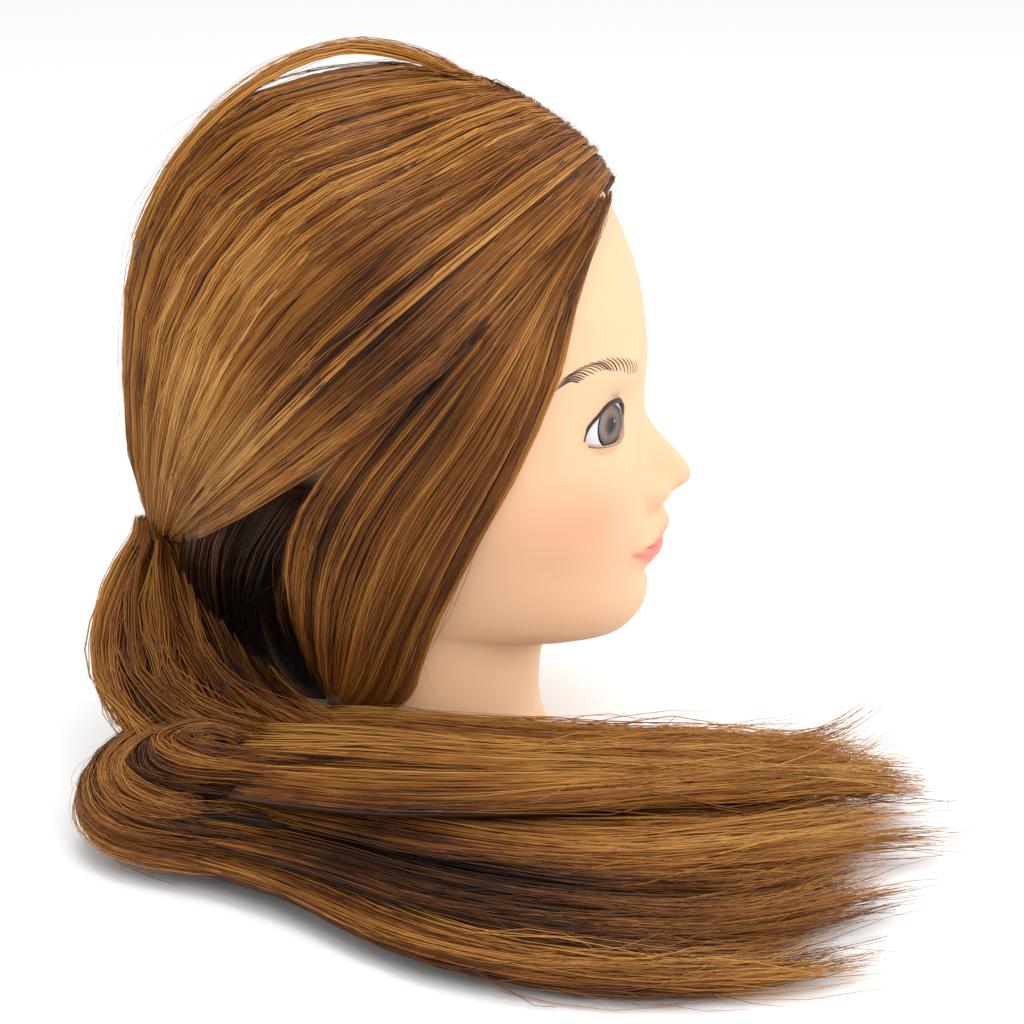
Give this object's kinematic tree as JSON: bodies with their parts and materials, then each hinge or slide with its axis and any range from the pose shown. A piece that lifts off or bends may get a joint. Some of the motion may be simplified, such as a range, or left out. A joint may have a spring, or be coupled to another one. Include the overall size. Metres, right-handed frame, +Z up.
{
  "type": "mannequin training head",
  "caption": "Hairdressing practice head: soft vinyl face and neck over a foam core, long rooted hair tied at the nape, clamp socket in a flat base.",
  "frame": {"origin": "middle of the footprint of the head and its laid-out hair, on the surface it stands on", "axes": "+X the way the face looks, +Z up, -Y toward the head's own right side, where the tail is laid"},
  "size_m": [0.3158, 0.298, 0.2837],
  "materials": {
    "vinyl_skin": "soft matte vinyl, fair peach tone",
    "rigid_foam": "rigid polyurethane foam",
    "black_abs": "moulded black ABS",
    "grey_abs": "moulded grey ABS",
    "zinc_steel": "zinc-plated self-tapping screw",
    "white_acrylic": "polished white acrylic",
    "iris_print": "grey-brown printed disc",
    "clear_acrylic": "clear polished acrylic",
    "hair_fibre": "glossy golden-brown synthetic hair",
    "elastic_band": "dark brown covered elastic"
  },
  "bodies": {
    "head": {"head_skin": "vinyl_skin", "foam_core": "rigid_foam", "base_plate": "black_abs", "anchor_ring": "grey_abs", "base_screw_1": "zinc_steel", "base_screw_2": "zinc_steel", "base_screw_3": "zinc_steel", "base_screw_4": "zinc_steel", "eye_right": "white_acrylic", "eye_left": "white_acrylic", "iris_right": "iris_print", "iris_left": "iris_print", "cornea_right": "clear_acrylic", "cornea_left": "clear_acrylic", "hair_top_right": "hair_fibre", "hair_top_left": "hair_fibre", "curtain_right": "hair_fibre", "curtain_left": "hair_fibre", "hair_nape": "hair_fibre", "crest_lock": "hair_fibre", "hair_tie": "elastic_band", "ponytail": "hair_fibre", "table_coil": "hair_fibre", "fan_front": "hair_fibre", "fan_middle": "hair_fibre", "fan_rear": "hair_fibre", "fan_over": "hair_fibre"},
    "socket": {"clamp_socket": "grey_abs"}
  },
  "joints": [
    {"name": "socket_pull", "type": "slide", "parent": "head", "child": "socket", "axis": [0, 0, -1], "range_m": [0, 0.06]}
  ]
}
